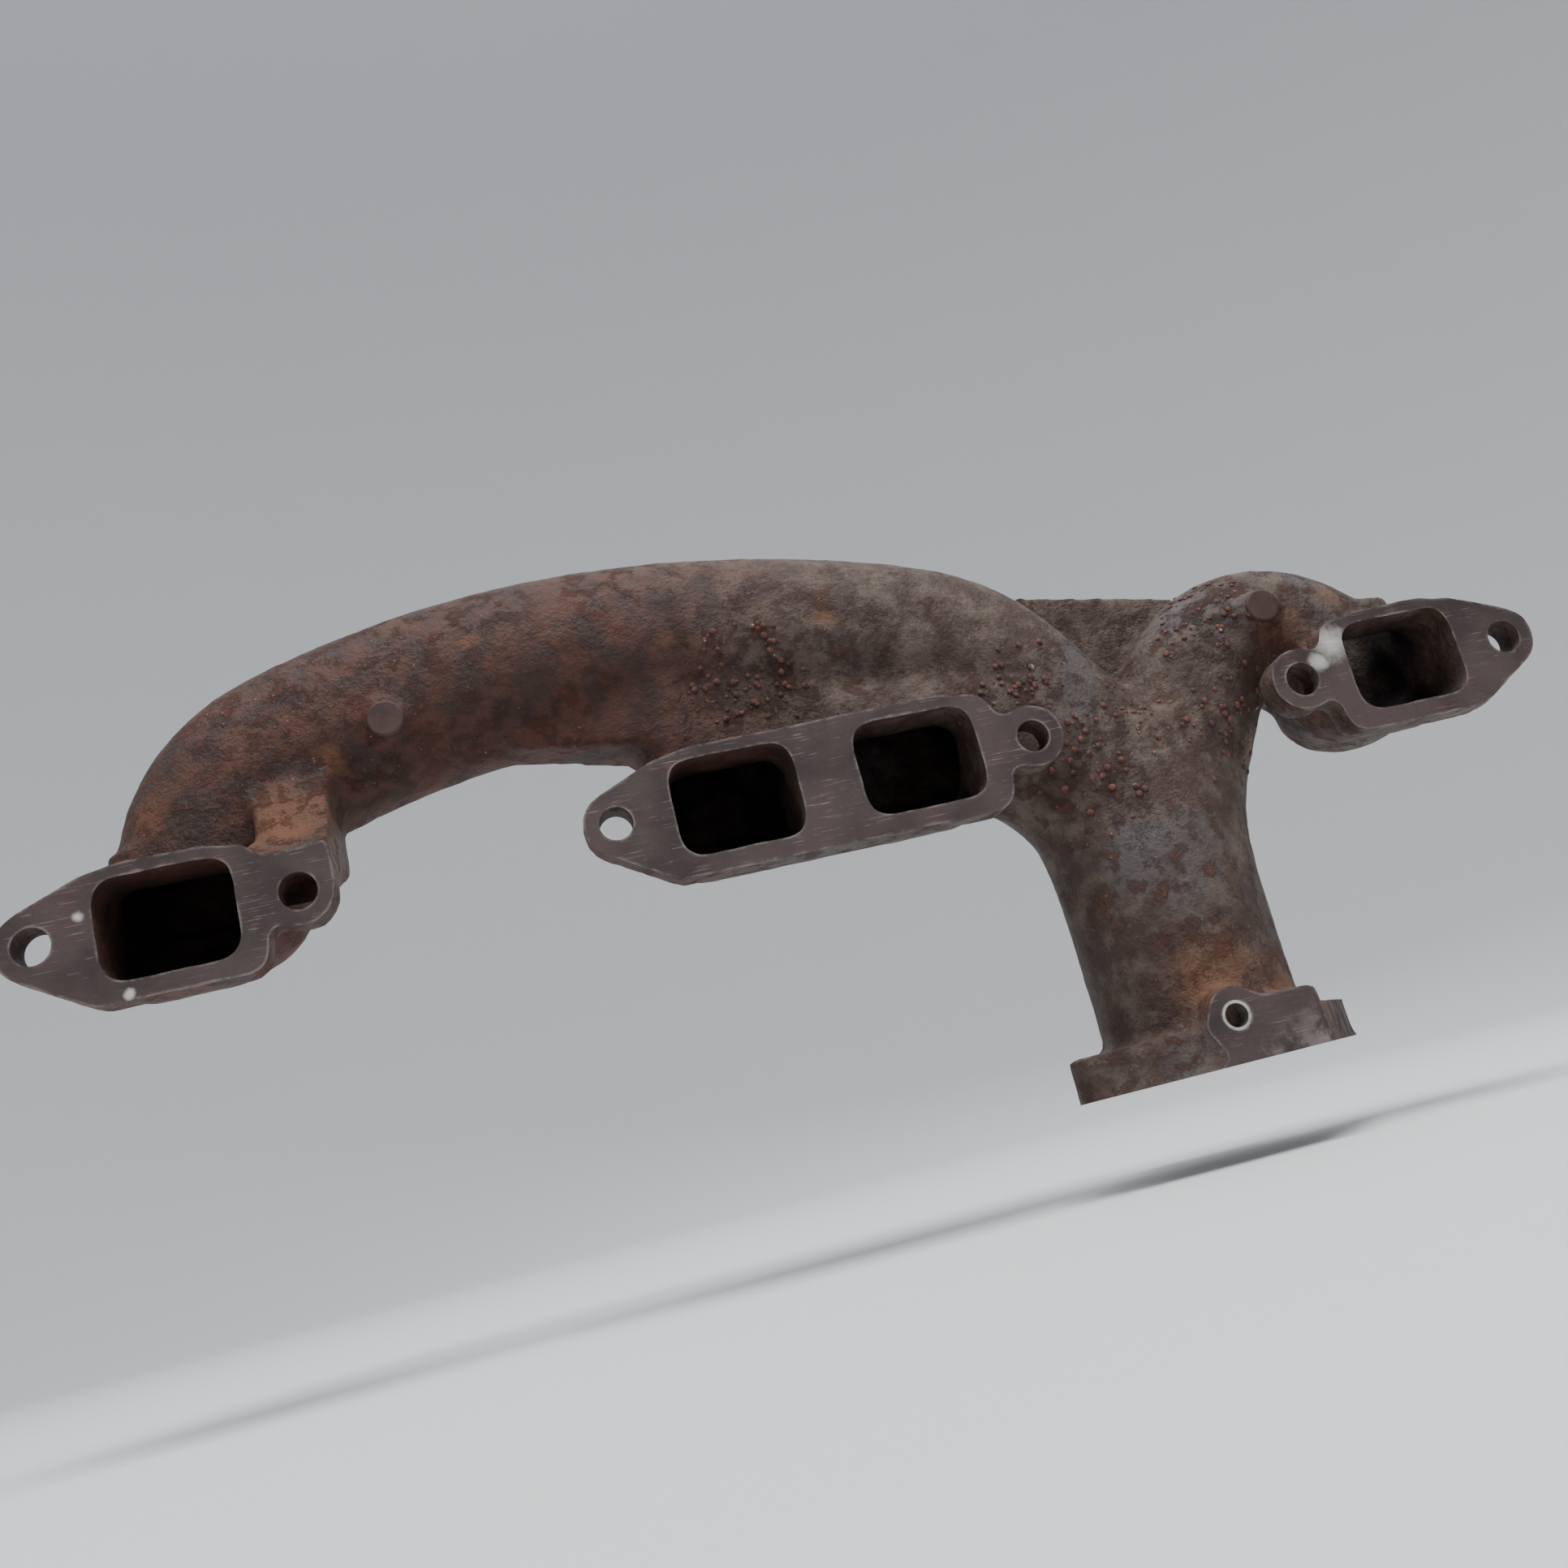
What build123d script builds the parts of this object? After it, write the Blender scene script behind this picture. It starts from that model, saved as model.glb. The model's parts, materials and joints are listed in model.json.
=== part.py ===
"""Cast-iron exhaust manifold for one bank of a large V8, with its heat-control valve.

Frame, in millimetres: X runs along the line of ports, Y points out from the cylinder head,
Z is up. The origin is the middle of the twin-port flange's face, on the line of bolt holes.
The three port faces lie in the plane Y = 0, and all of the metal is on the side Y > 0.
"""

from build123d import *
from math import cos, radians, sin, sqrt
import os

os.makedirs("parts", exist_ok=True)

# ---- The cylinder head's pattern ----
bore_spacing = 121.92
twin_port_pitch = 62.9
port_width = 41.0
port_height = 31.5
port_corner = 6.0
end_bolt_pitch = 79.5
end_hole_d = 12.0
centre_bolt_pitch = 143.6
centre_hole_d = 11.1

# ---- The flanges against the head ----
flange_thickness = 13.0
flange_top_rim = 3.9
flange_bottom_rim = 7.7
flange_side_rim = 9.0
flange_corner = 8.0
hole_overrun = 1.0
lobe_rim = 6.0
lug_waist = 0.8
lug_rib_width = 26.0
lug_rib_top = 46.0

# ---- The cast passages ----
wall = 5.5
runner_y = 48.0
end_step = 1.0
end_overlap = 2.0
stub_corner = 14.0
elbow_radius = 28.0
end_elbow_rise = 6.0
centre_elbow_rise = 22.0

# The long arch from the front port: its oval section, and the arcs of its centreline.
arch_height = 66.0
arch_depth = 52.0
arch_inset = 6.4
arch_start_z = 8.0
arch_rise = 9.0
arch_bend_radius = 44.0
arch_bend = 71.0
arch_back_radius = 310.0
arch_brow_radius = 390.0
arch_brow = 19.0
arch_fall_radius = 62.0
arch_fall = 38.0
arch_tail = 50.0

# The short hump from the rear port.
hump_d = 54.0
hump_radius = 32.0
hump_turn = 150.0
hump_tail = 48.0
hump_floor = 18.0
hump_foot = 4.0

# The middle gallery, which carries the two middle ports across to the neck.
gallery_height = 60.0
gallery_depth = 56.0
gallery_start_x = 10.0
gallery_z = 20.0
gallery_run = 40.0
gallery_radius = 60.0
gallery_turn = 55.0
gallery_tail = 20.0

# The shoulder that fills the corner between the twin ports' body and the arch, as the X, and
# the low and high Y and Z, of its two end sections.
shoulder_wide = (-40.0, 25.0, 60.0, 30.0, 66.0)
shoulder_tip = (-100.0, 36.0, 58.0, 43.0, 48.0)

# The neck: a round pipe below, opening out under the two runners.
neck_x = 118.0
neck_bore_d = 59.4
neck_wall = 6.0
neck_straight_z = -66.0
neck_levels = 4
shoulder_level_z = -24.0
shoulder_half_x = 42.5
shoulder_half_y = 32.0
throat_z = 8.0
throat_half_x = 49.0
throat_half_y = 27.0
throat_shift = 4.0

# The web that closes the back of the valley between the arch and the hump.
web_front_y = 64.0
web_thickness = 8.0
web_points = [(84.0, 8.0), (104.0, 74.5), (168.0, 61.5), (188.0, 12.0)]

# ---- The outlet flange ----
outlet_z = -121.5
outlet_thickness = 15.0
outlet_rim = 8.4
stud_hole_d = 11.0
stud_rim = 7.5
stud_offset_x = 47.0
stud_offset_y = 27.0
rear_ear_reach = 9.0
notch_d = 10.0
notch_z = -113.3
notch_inset = 2.6
notch_lip_back = 4.2
block_top_z = -101.0
block_end_x = 144.5
block_depth = 26.0
block_corner = 4.0
valve_boss_d = 21.0
outer_boss_proud = 10.4

# ---- The heat-control valve ----
shaft_d = 7.92
shaft_x = 112.5
shaft_z = -106.0
running_clearance = 0.04
bush_wall = 1.0
bush_set_back = 1.2
shaft_recess = 7.5
flap_thickness = 2.5
flap_gap = 0.8
flap_closed_tilt = 10.0
flap_seat_gap = 0.3
flap_screw_d = 4.0
flap_screw_clearance = 0.15
flap_screw_pitch = 26.0
flap_head_d = 7.0
flap_head_height = 2.4
washer_d = 17.0
washer_thickness = 1.2
washer_clearance = 0.09
axial_gap = 0.3

counterweight_thickness = 11.0
hub_d = 20.0
weight_d = 27.0
weight_reach = 30.0
arm_width = 14.0
lock_flat_width = 11.0
lock_flat_reach = 10.2
lock_screw_d = 5.0
lock_tip_gap = 0.06
lock_head_d = 8.5
lock_head_height = 2.2
lock_head_edge = 0.6

strip_thickness = 1.2
strip_width = 6.0
strip_step = 1.7
strip_inner_r = 5.6
strip_half_turns = 4
strip_gap = 1.6
slot_clearance = 0.1
eye_clearance = 0.1
leg_rise = 20.0
tab_end_gap = 0.8
anchor_d = 5.0
stop_d = 6.0
stop_angle = 112.0
stop_gap = 0.3
pin_pad_rim = 4.0
pin_seat = 9.0
pin_pad_depth = 26.0
pin_end_proud = 1.0
pin_chamfer = 0.5
clip_d = 14.0
clip_thickness = 0.9
shaft_end_proud = 1.0

# ---- The core-hole plugs, as X and Z of each hole ----
plug_d = 12.5
plug_rise = 3.8
plug_length = 10.5
plug_edge = 0.8
plug_hole_reach = 16.0
front_plug_x = -138.6
front_plug_z = 57.7
rear_plug_x = 177.6
rear_plug_z = 35.0

# ---- Worked out from the sizes above ----
end_port_x = 2 * bore_spacing - twin_port_pitch / 2
stub_width = port_width + 2 * wall
stub_height = port_height + 2 * wall
middle_width = twin_port_pitch + port_width + 2 * wall
neck_d = neck_bore_d + 2 * neck_wall
outlet_front_y = runner_y - neck_d / 2 - outlet_rim
outlet_top_z = outlet_z + outlet_thickness
outer_boss_y = runner_y + neck_d / 2 + outer_boss_proud
bush_bore_d = shaft_d + 2 * running_clearance
bush_d = bush_bore_d + 2 * bush_wall
bore_half_chord = sqrt((neck_bore_d / 2) ** 2 - (shaft_x - neck_x) ** 2)
bush_length = runner_y - bore_half_chord - bush_set_back - outlet_front_y
washer_y = outer_boss_y
hub_y = washer_y + washer_thickness + axial_gap
spring_y = hub_y + counterweight_thickness + strip_gap
clip_y = spring_y + strip_width + strip_gap
shaft_end_y = clip_y + clip_thickness + shaft_end_proud
hump_start_x = end_port_x + 1.6

# Work planes. side_view looks along +Y: its local x is X, and its local y is Z.
port_face = Plane.XZ
side_view = Plane.XZ.offset(-runner_y)
upper_half = (Align.CENTER, Align.MIN)
right_half = (Align.MIN, Align.CENTER)


def point_and_way(arc):
    """Where a stretch of centreline ends, and which way it is heading, on side_view."""
    place = side_view.to_local_coords(arc @ 1)
    heading = (arc % 1).X, (arc % 1).Z
    return (place.X, place.Y), heading


def onward(start, heading, length):
    """The end of a straight stretch that carries on along a heading."""
    return start[0] + heading[0] * length, start[1] + heading[1] * length


def oval_runner(path, height, depth, mode):
    """One length of oval cast tube along a centreline on side_view."""
    with BuildSketch(Plane(origin=path @ 0, x_dir=(0, 1, 0), z_dir=path % 0)) as section:
        Ellipse(depth / 2, height / 2)
    sweep(sections=section.sketch, path=path, mode=mode)


def rounded_end(x, z, half_x, half_z, turning, kept_half):
    """A half-egg that closes the bottom of a runner, turned about one axis of its oval."""
    with BuildSketch(side_view) as profile:
        with Locations((x, z)):
            Ellipse(half_x - end_step, half_z - end_step)
            Rectangle(2 * half_x, 2 * half_z, align=kept_half, mode=Mode.INTERSECT)
    revolve(profile.sketch, axis=Axis((x, runner_y, z), turning))


def elbow(x, width, height, corner, rise, mode):
    """A passage that leaves a port straight out and turns up into the runner."""
    with BuildLine(Plane.YZ.offset(x)) as path:
        Line((0, 0), (runner_y - elbow_radius, 0))
        JernArc((runner_y - elbow_radius, 0), (1, 0), elbow_radius, 90)
        Line((runner_y, elbow_radius), (runner_y, elbow_radius + rise))
    with BuildSketch(Plane(origin=(x, 0, 0), x_dir=(1, 0, 0), z_dir=(0, 1, 0))) as section:
        RectangleRounded(width, height, corner)
    sweep(sections=section.sketch, path=path.wire(), mode=mode)


def neck(bore_less, mode):
    """The pipe from the outlet face up to the throat, drawn in by bore_less on every side."""
    level_step = (neck_straight_z - outlet_z) / neck_levels
    levels = []
    for level in range(neck_levels + 1):
        levels.append((outlet_z + level * level_step, neck_x, neck_d / 2, neck_d / 2))
    levels.append((shoulder_level_z, neck_x + throat_shift / 2, shoulder_half_x, shoulder_half_y))
    levels.append((throat_z, neck_x + throat_shift, throat_half_x, throat_half_y))
    rings = []
    for z, x, half_x, half_y in levels:
        with BuildSketch(Plane((x, runner_y, z))) as ring:
            Ellipse(half_x - bore_less, half_y - bore_less)
        rings.append(ring.sketch)
    loft(sections=rings, mode=mode)


def post(x, z, diameter, from_y, to_y, mode=Mode.ADD):
    """A round boss, bore, pin or bush that lies along Y."""
    with BuildSketch(Plane.XZ.offset(-from_y)) as disc:
        with Locations((x, z)):
            Circle(diameter / 2)
    extrude(disc.sketch, amount=from_y - to_y, mode=mode)


# =====================================================================================
# Centrelines of the three runners
# =====================================================================================
with BuildLine(side_view) as arch_line:
    arch_start = (-end_port_x + arch_inset, arch_start_z)
    arch_knee = (arch_start[0], arch_start_z + arch_rise)
    Line(arch_start, arch_knee)
    bend = JernArc(arch_knee, (0, 1), arch_bend_radius, -arch_bend)
    back = JernArc(*point_and_way(bend), arch_back_radius, arch_bend - 90.0)
    brow = JernArc(*point_and_way(back), arch_brow_radius, -arch_brow)
    fall = JernArc(*point_and_way(brow), arch_fall_radius, -arch_fall)
    Line(point_and_way(fall)[0], onward(*point_and_way(fall), arch_tail))

with BuildLine(side_view) as hump_line:
    Line((hump_start_x, -hump_foot), (hump_start_x, 0))
    round_turn = JernArc((hump_start_x, 0), (0, 1), hump_radius, hump_turn)
    Line(point_and_way(round_turn)[0], onward(*point_and_way(round_turn), hump_tail))

with BuildLine(side_view) as gallery_line:
    gallery_knee = (gallery_start_x + gallery_run, gallery_z)
    Line((gallery_start_x, gallery_z), gallery_knee)
    down_turn = JernArc(gallery_knee, (1, 0), gallery_radius, -gallery_turn)
    Line(point_and_way(down_turn)[0], onward(*point_and_way(down_turn), gallery_tail))

# =====================================================================================
# manifold_casting: three port flanges, the arch and hump runners, the middle gallery,
# the neck and the outlet flange, all one iron casting.
# =====================================================================================
rim_top = port_height / 2 + flange_top_rim
rim_bottom = port_height / 2 + flange_bottom_rim
end_plate_width = port_width + 2 * flange_side_rim
centre_plate_width = twin_port_pitch + end_plate_width
end_lobe_r = end_hole_d / 2 + lobe_rim
centre_lobe_r = centre_hole_d / 2 + lobe_rim


def head_flange(x, plate_width, pitch, lobe_r, tapered_side):
    """A port flange: one bolt lobe tapers into the plate, the other stands on a waist."""
    with BuildSketch(port_face) as tapered:
        with Locations((x, (rim_top - rim_bottom) / 2)):
            RectangleRounded(plate_width, rim_top + rim_bottom, flange_corner)
        with Locations((x + tapered_side * pitch / 2, 0)):
            Circle(lobe_r)
        make_hull()
    with BuildSketch(port_face) as waisted:
        with Locations((x - tapered_side * pitch / 2, 0)):
            Circle(lobe_r)
        with Locations((x - tapered_side * pitch / 4, 0)):
            Rectangle(pitch / 2, 2 * lobe_r * lug_waist)
    extrude(tapered.sketch, amount=-flange_thickness)
    extrude(waisted.sketch, amount=-flange_thickness)


def plug_face_y(line_z, hole_z, half_height, half_depth):
    """Where the raised face of a core plug stands, on a runner whose middle is at line_z."""
    across = (hole_z - line_z) / half_height
    return runner_y - half_depth * sqrt(1 - across**2) - plug_rise


arch_crown_x = point_and_way(back)[0][0]
arch_crown_z = point_and_way(back)[0][1]
arch_line_z = arch_crown_z - arch_back_radius + sqrt(arch_back_radius**2 - (front_plug_x - arch_crown_x) ** 2)
front_plug_y = plug_face_y(arch_line_z, front_plug_z, arch_height / 2, arch_depth / 2)
rear_plug_y = plug_face_y(hump_radius, rear_plug_z, hump_d / 2, hump_d / 2)
front_stud = (neck_x - stud_offset_x, runner_y - stud_offset_y)
rear_stud = (neck_x + stud_offset_x, runner_y + stud_offset_y)
ear_r = stud_hole_d / 2 + stud_rim
rear_ear_end_x = rear_stud[0] + rear_ear_reach + ear_r
weight_r = weight_d / 2
stop_swing = weight_r + stop_d / 2 + stop_gap
stop_x = shaft_x + weight_reach + stop_swing * cos(radians(stop_angle))
stop_z = shaft_z + stop_swing * sin(radians(stop_angle))
strip_outer_r = strip_inner_r + strip_half_turns * strip_step
eye_r = anchor_d / 2 + eye_clearance
anchor_x = shaft_x + strip_outer_r - eye_r
anchor_z = shaft_z + leg_rise

with BuildPart() as sand_core:
    oval_runner(arch_line.wire(), arch_height - 2 * wall, arch_depth - 2 * wall, Mode.ADD)
    oval_runner(hump_line.wire(), hump_d - 2 * wall, hump_d - 2 * wall, Mode.ADD)
    neck(neck_wall, Mode.ADD)
    oval_runner(gallery_line.wire(), gallery_height - 2 * wall, gallery_depth - 2 * wall, Mode.ADD)
    for port_x in (-end_port_x, end_port_x):
        elbow(port_x, port_width, port_height, port_corner, end_elbow_rise, Mode.ADD)
    for port_x in (-twin_port_pitch / 2, twin_port_pitch / 2):
        elbow(port_x, port_width, port_height, port_corner, centre_elbow_rise, Mode.ADD)

with BuildPart() as manifold_casting:
    # outside: the runners, the gallery and the neck
    oval_runner(arch_line.wire(), arch_height, arch_depth, Mode.ADD)
    oval_runner(hump_line.wire(), hump_d, hump_d, Mode.ADD)
    neck(0.0, Mode.ADD)
    oval_runner(gallery_line.wire(), gallery_height, gallery_depth, Mode.ADD)
    # outside: the rounded lower ends of the two runners, and the elbows in from the ports
    arch_foot_z = arch_start_z + end_overlap
    rounded_end(arch_start[0], arch_foot_z, arch_height / 2, arch_depth / 2, (1, 0, 0), upper_half)
    hump_foot_z = end_overlap - hump_foot
    rounded_end(hump_start_x, hump_foot_z, hump_d / 2, hump_floor, (0, 0, 1), right_half)
    for side in (-1, 1):
        elbow(side * end_port_x, stub_width, stub_height, stub_corner, end_elbow_rise, Mode.ADD)
    elbow(0.0, middle_width, stub_height, stub_corner, centre_elbow_rise, Mode.ADD)
    # outside: the shoulder beside the twin ports' body
    shoulder_ends = []
    for x, low_y, high_y, low_z, high_z in (shoulder_tip, shoulder_wide):
        with BuildSketch(Plane.YZ.offset(x)) as shoulder_end:
            with Locations(((low_y + high_y) / 2, (low_z + high_z) / 2)):
                Rectangle(high_y - low_y, high_z - low_z)
        shoulder_ends.append(shoulder_end.sketch)
    loft(sections=shoulder_ends)
    # outside: the web across the back of the valley
    with BuildSketch(Plane.XZ.offset(-web_front_y)) as web:
        Polygon(*web_points, align=None)
    extrude(web.sketch, amount=-web_thickness)
    # outside: a rib from the front flange's inner lug up to the arch
    with BuildSketch(Plane.YZ.offset(-end_port_x + end_bolt_pitch / 2 + end_lobe_r)) as rib:
        Polygon(
            (0, 0),
            (0, end_lobe_r),
            (flange_thickness, end_lobe_r + flange_thickness),
            (runner_y / 2, lug_rib_top),
            (runner_y, lug_rib_top),
            (runner_y, end_lobe_r),
            (flange_thickness, 0),
            align=None,
        )
    extrude(rib.sketch, amount=-lug_rib_width)
    # outside: outlet flange, an oval with an ear at the front and a longer one at the rear
    with BuildSketch(Plane.XY.offset(outlet_z)) as outlet_plate:
        with Locations((neck_x, runner_y)):
            Circle(neck_d / 2 + outlet_rim)
        with Locations(front_stud, rear_stud, (rear_stud[0] + rear_ear_reach, rear_stud[1])):
            Circle(ear_r)
        make_hull()
    extrude(outlet_plate.sketch, amount=outlet_thickness)
    # outside: the thicker block beside the shaft, and the bosses round the shaft's ends
    with BuildSketch(Plane.XY.offset(outlet_z)) as block:
        with Locations(((shaft_x + block_end_x) / 2, outlet_front_y + block_depth / 2)):
            RectangleRounded(block_end_x - shaft_x, block_depth, block_corner)
    extrude(block.sketch, amount=block_top_z - outlet_z)
    post(shaft_x, shaft_z, valve_boss_d, outlet_front_y, runner_y, Mode.ADD)
    post(shaft_x, shaft_z, valve_boss_d, runner_y, outer_boss_y, Mode.ADD)
    for pin_x, pin_z, pin_d in ((stop_x, stop_z, stop_d), (anchor_x, anchor_z, anchor_d)):
        post(pin_x, pin_z, pin_d + 2 * pin_pad_rim, outer_boss_y - pin_pad_depth, outer_boss_y)
    # outside: port flanges
    for side in (-1, 1):
        head_flange(side * end_port_x, end_plate_width, end_bolt_pitch, end_lobe_r, side)
    head_flange(0.0, centre_plate_width, centre_bolt_pitch, centre_lobe_r, -1)
    # inside: the gas passages, as the sand core that forms them
    add(sand_core.part, mode=Mode.SUBTRACT)
    # inside: bolt holes, stud holes, bush bores, pin seats and core holes
    hole_end_y = flange_thickness + hole_overrun
    for side in (-1, 1):
        for bolt_x in (end_port_x - end_bolt_pitch / 2, end_port_x + end_bolt_pitch / 2):
            post(side * bolt_x, 0.0, end_hole_d, -hole_overrun, hole_end_y, Mode.SUBTRACT)
        post(side * centre_bolt_pitch / 2, 0.0, centre_hole_d, -hole_overrun, hole_end_y, Mode.SUBTRACT)
    with BuildSketch(Plane.XY.offset(outlet_z)) as stud_holes:
        with Locations(front_stud, rear_stud):
            Circle(stud_hole_d / 2)
    extrude(stud_holes.sketch, amount=outlet_thickness, mode=Mode.SUBTRACT)
    post(shaft_x, shaft_z, bush_d, outlet_front_y, outer_boss_y, Mode.SUBTRACT)
    post(stop_x, stop_z, stop_d, outer_boss_y - pin_seat, outer_boss_y, Mode.SUBTRACT)
    post(anchor_x, anchor_z, anchor_d, outer_boss_y - pin_seat, outer_boss_y, Mode.SUBTRACT)
    post(front_plug_x, front_plug_z, plug_d, front_plug_y, front_plug_y + plug_hole_reach, Mode.SUBTRACT)
    post(rear_plug_x, rear_plug_z, plug_d, rear_plug_y, rear_plug_y + plug_hole_reach, Mode.SUBTRACT)
    # the half-round notch in the end of the rear ear, and its set-back upper lip
    ear_front_y = rear_stud[1] - ear_r
    ear_back_y = rear_stud[1] + ear_r
    post(rear_ear_end_x - notch_inset, notch_z, notch_d, ear_front_y, ear_back_y, Mode.SUBTRACT)
    with BuildSketch(Plane.XZ.offset(-ear_front_y)) as lip:
        with Locations((rear_ear_end_x - notch_lip_back, notch_z)):
            Rectangle(
                notch_lip_back,
                outlet_top_z - notch_z,
                align=(Align.MIN, Align.MIN),
            )
    extrude(lip.sketch, amount=-2 * ear_r, mode=Mode.SUBTRACT)
manifold_casting.part.label = "manifold_casting"
export_step(manifold_casting.part, "parts/manifold_casting.step")

# =====================================================================================
# core_plug_front, core_plug_rear: round plugs pressed into the casting's core holes
# =====================================================================================
with BuildPart() as core_plug_front:
    post(front_plug_x, front_plug_z, plug_d, front_plug_y, front_plug_y + plug_length)
    fillet(core_plug_front.edges().group_by(Axis.Y)[0], plug_edge)
core_plug_front.part.label = "core_plug_front"
export_step(core_plug_front.part, "parts/core_plug_front.step")

with BuildPart() as core_plug_rear:
    post(rear_plug_x, rear_plug_z, plug_d, rear_plug_y, rear_plug_y + plug_length)
    fillet(core_plug_rear.edges().group_by(Axis.Y)[0], plug_edge)
core_plug_rear.part.label = "core_plug_rear"
export_step(core_plug_rear.part, "parts/core_plug_rear.step")

# =====================================================================================
# shaft_bush_engine_side, shaft_bush_outer_side: thin sleeves that carry the valve's shaft
# =====================================================================================
with BuildPart() as shaft_bush_engine_side:
    post(shaft_x, shaft_z, bush_d, outlet_front_y, outlet_front_y + bush_length)
    post(shaft_x, shaft_z, bush_bore_d, outlet_front_y, outlet_front_y + bush_length, Mode.SUBTRACT)
shaft_bush_engine_side.part.label = "shaft_bush_engine_side"
export_step(shaft_bush_engine_side.part, "parts/shaft_bush_engine_side.step")

outer_bush_length = outer_boss_y - runner_y - bore_half_chord - bush_set_back
with BuildPart() as shaft_bush_outer_side:
    post(shaft_x, shaft_z, bush_d, outer_boss_y - outer_bush_length, outer_boss_y)
    post(shaft_x, shaft_z, bush_bore_d, outer_boss_y - outer_bush_length, outer_boss_y, Mode.SUBTRACT)
shaft_bush_outer_side.part.label = "shaft_bush_outer_side"
export_step(shaft_bush_outer_side.part, "parts/shaft_bush_outer_side.step")

# =====================================================================================
# heat_valve_flap, heat_valve_shaft, flap_screws: the valve plate sits on a flat milled
# on the shaft, so that the plate's middle lies on the shaft's axis.
# =====================================================================================
flap_plane = Plane(
    origin=(shaft_x, runner_y, shaft_z),
    x_dir=(cos(radians(flap_closed_tilt)), 0, -sin(radians(flap_closed_tilt))),
    z_dir=(sin(radians(flap_closed_tilt)), 0, cos(radians(flap_closed_tilt))),
)
flap_screw_places = [(0, -flap_screw_pitch / 2), (0, flap_screw_pitch / 2)]
flap_hole_d = flap_screw_d + 2 * flap_screw_clearance
flap_r = neck_bore_d / 2 - flap_gap
flap_flat_length = 2 * (flap_r + flap_seat_gap)
flap_seat = -flap_thickness / 2

with BuildPart() as heat_valve_flap:
    with BuildSketch(Plane((neck_x, runner_y, shaft_z - flap_r))) as round_blank:
        Circle(flap_r)
    extrude(round_blank.sketch, amount=2 * flap_r)
    with BuildSketch(flap_plane.offset(flap_seat)) as plate:
        Rectangle(4 * flap_r, 4 * flap_r)
    extrude(plate.sketch, amount=flap_thickness, mode=Mode.INTERSECT)
    with BuildSketch(flap_plane.offset(flap_seat)) as flap_holes:
        with Locations(flap_screw_places):
            Circle(flap_hole_d / 2)
    extrude(flap_holes.sketch, amount=flap_thickness, mode=Mode.SUBTRACT)
heat_valve_flap.part.label = "heat_valve_flap"
export_step(heat_valve_flap.part, "parts/heat_valve_flap.step")

shaft_start_y = outlet_front_y + shaft_recess
slot_start_y = hub_y + counterweight_thickness
with BuildPart() as heat_valve_shaft:
    post(shaft_x, shaft_z, shaft_d, shaft_start_y, shaft_end_y)
    # the flat for the flap
    with BuildSketch(flap_plane.offset(flap_seat)) as flat:
        Rectangle(2 * shaft_d, flap_flat_length)
    extrude(flat.sketch, amount=shaft_d, mode=Mode.SUBTRACT)
    # the threaded holes for the flap's screws, right through
    with BuildSketch(flap_plane.offset(-shaft_d)) as screw_holes:
        with Locations(flap_screw_places):
            Circle(flap_screw_d / 2)
    extrude(screw_holes.sketch, amount=shaft_d, mode=Mode.SUBTRACT)
    # the slot in the outer end for the spring's inner tab
    with BuildSketch(Plane.XY.offset(shaft_z)) as slot:
        with Locations((shaft_x, slot_start_y)):
            Rectangle(
                2 * shaft_d,
                shaft_end_y - slot_start_y,
                align=(Align.CENTER, Align.MIN),
            )
    extrude(slot.sketch, amount=strip_thickness / 2 + slot_clearance, both=True, mode=Mode.SUBTRACT)
heat_valve_shaft.part.label = "heat_valve_shaft"
export_step(heat_valve_shaft.part, "parts/heat_valve_shaft.step")

with BuildPart() as flap_screws:
    with BuildSketch(flap_plane.offset(-shaft_d / 2)) as screw_bodies:
        with Locations(flap_screw_places):
            Circle(flap_screw_d / 2)
    extrude(screw_bodies.sketch, amount=shaft_d / 2 + flap_thickness / 2)
    with BuildSketch(flap_plane.offset(flap_thickness / 2)) as screw_heads:
        with Locations(flap_screw_places):
            Circle(flap_head_d / 2)
    extrude(screw_heads.sketch, amount=flap_head_height)
flap_screws.part.label = "flap_screws"
export_step(flap_screws.part, "parts/flap_screws.step")

# =====================================================================================
# thrust_washer, counterweight, counterweight_screw: on the outer end of the shaft
# =====================================================================================
with BuildPart() as thrust_washer:
    post(shaft_x, shaft_z, washer_d, washer_y, washer_y + washer_thickness)
    washer_bore_d = shaft_d + 2 * washer_clearance
    post(shaft_x, shaft_z, washer_bore_d, washer_y, washer_y + washer_thickness, Mode.SUBTRACT)
thrust_washer.part.label = "thrust_washer"
export_step(thrust_washer.part, "parts/thrust_washer.step")

with BuildPart() as counterweight:
    with BuildSketch(Plane.XZ.offset(-hub_y)) as weight_profile:
        with Locations((shaft_x, shaft_z)):
            Circle(hub_d / 2)
        with Locations((shaft_x + weight_reach, shaft_z)):
            Circle(weight_r)
        with Locations((shaft_x + weight_reach / 2, shaft_z)):
            Rectangle(weight_reach, arm_width)
        with Locations((shaft_x - lock_flat_reach, shaft_z)):
            Rectangle(lock_flat_reach, lock_flat_width, align=(Align.MIN, Align.CENTER))
    extrude(weight_profile.sketch, amount=-counterweight_thickness)
    post(shaft_x, shaft_z, shaft_d, hub_y, hub_y + counterweight_thickness, Mode.SUBTRACT)
    lock_y = hub_y + counterweight_thickness / 2
    with BuildSketch(Plane.YZ.offset(shaft_x - lock_flat_reach)) as lock_hole:
        with Locations((lock_y, shaft_z)):
            Circle(lock_screw_d / 2)
    extrude(lock_hole.sketch, amount=lock_flat_reach, mode=Mode.SUBTRACT)
counterweight.part.label = "counterweight"
export_step(counterweight.part, "parts/counterweight.step")

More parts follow.
